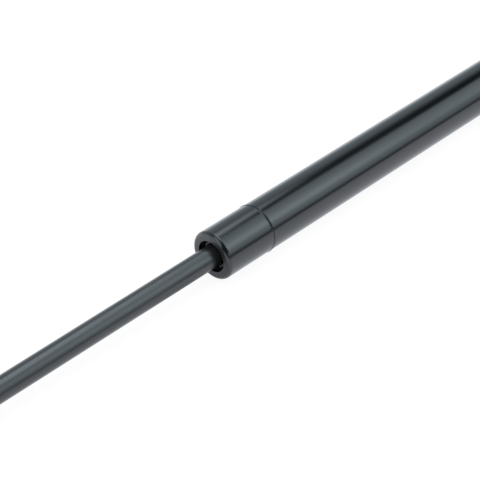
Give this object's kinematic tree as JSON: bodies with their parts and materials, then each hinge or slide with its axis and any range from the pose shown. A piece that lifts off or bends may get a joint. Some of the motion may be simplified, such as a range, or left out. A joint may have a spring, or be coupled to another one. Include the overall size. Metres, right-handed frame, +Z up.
{
  "type": "hood gas strut",
  "caption": "Gas strut that lifts and holds a car's hood: a painted steel tube, a rod that slides and turns in it, and a clipped ball socket with a ball stud at each end.",
  "frame": {"origin": "on the surface that the sockets' flat backs lie on, half way between the ball centres", "axes": "+X along the strut from the rod end to the closed end, +Z up, along the studs"},
  "size_m": [0.501, 0.019, 0.037],
  "materials": {
    "tube_paint": "semi-gloss black paint on steel",
    "rod_nitride": "black nitrided and polished steel",
    "guide_polymer": "moulded dark grey polymer",
    "bush_bronze": "plain bronze bearing",
    "seal_rubber": "black nitrile rubber",
    "inner_steel": "bare turned steel",
    "piston_alloy": "die-cast alloy",
    "ring_polymer": "pale low-friction polymer",
    "socket_nylon": "black glass-filled nylon",
    "clip_steel": "spring steel strip",
    "stud_zinc": "bright zinc-plated steel"
  },
  "bodies": {
    "tube": {"pressure_tube": "tube_paint", "rod_end_cap": "tube_paint", "rod_guide": "guide_polymer", "guide_bush": "bush_bronze", "wiper_ring": "seal_rubber", "seal_washer": "inner_steel", "rod_seal": "seal_rubber", "seal_support": "inner_steel", "stop_cushion": "seal_rubber", "base_plug": "inner_steel", "plug_o_ring": "seal_rubber", "tube_ball_socket": "socket_nylon"},
    "ring": {"piston_ring": "ring_polymer"},
    "rod": {"piston_rod": "rod_nitride", "piston": "piston_alloy", "piston_washer": "inner_steel", "throttle_disc": "inner_steel", "piston_nut": "inner_steel", "rod_ball_socket": "socket_nylon"},
    "rod_clip": {"rod_socket_clip": "clip_steel"},
    "tube_clip": {"tube_socket_clip": "clip_steel"},
    "rod_stud": {"rod_ball_stud": "stud_zinc"},
    "tube_stud": {"tube_ball_stud": "stud_zinc"}
  },
  "joints": [
    {"name": "rod_slide", "type": "slide", "parent": "tube", "child": "ring", "axis": [1, 0, 0], "range_m": [0, 0.18], "stiffness_N_per_m": 400, "springref_m": -0.625},
    {"name": "rod_spin", "type": "hinge", "parent": "ring", "child": "rod", "pos_m": [0, 0, 0.0095], "axis": [1, 0, 0], "continuous": true},
    {"name": "rod_stud_swing", "type": "hinge", "parent": "rod", "child": "rod_stud", "pos_m": [-0.241, 0, 0.0095], "axis": [0, 0, 1], "continuous": true},
    {"name": "tube_stud_swing", "type": "hinge", "parent": "tube", "child": "tube_stud", "pos_m": [0.241, 0, 0.0095], "axis": [0, 0, 1], "continuous": true},
    {"name": "rod_clip_release", "type": "slide", "parent": "rod", "child": "rod_clip", "axis": [-1, 0, 0], "range_m": [0, 0.0045], "stiffness_N_per_m": 2000},
    {"name": "tube_clip_release", "type": "slide", "parent": "tube", "child": "tube_clip", "axis": [1, 0, 0], "range_m": [0, 0.0045], "stiffness_N_per_m": 2000}
  ]
}
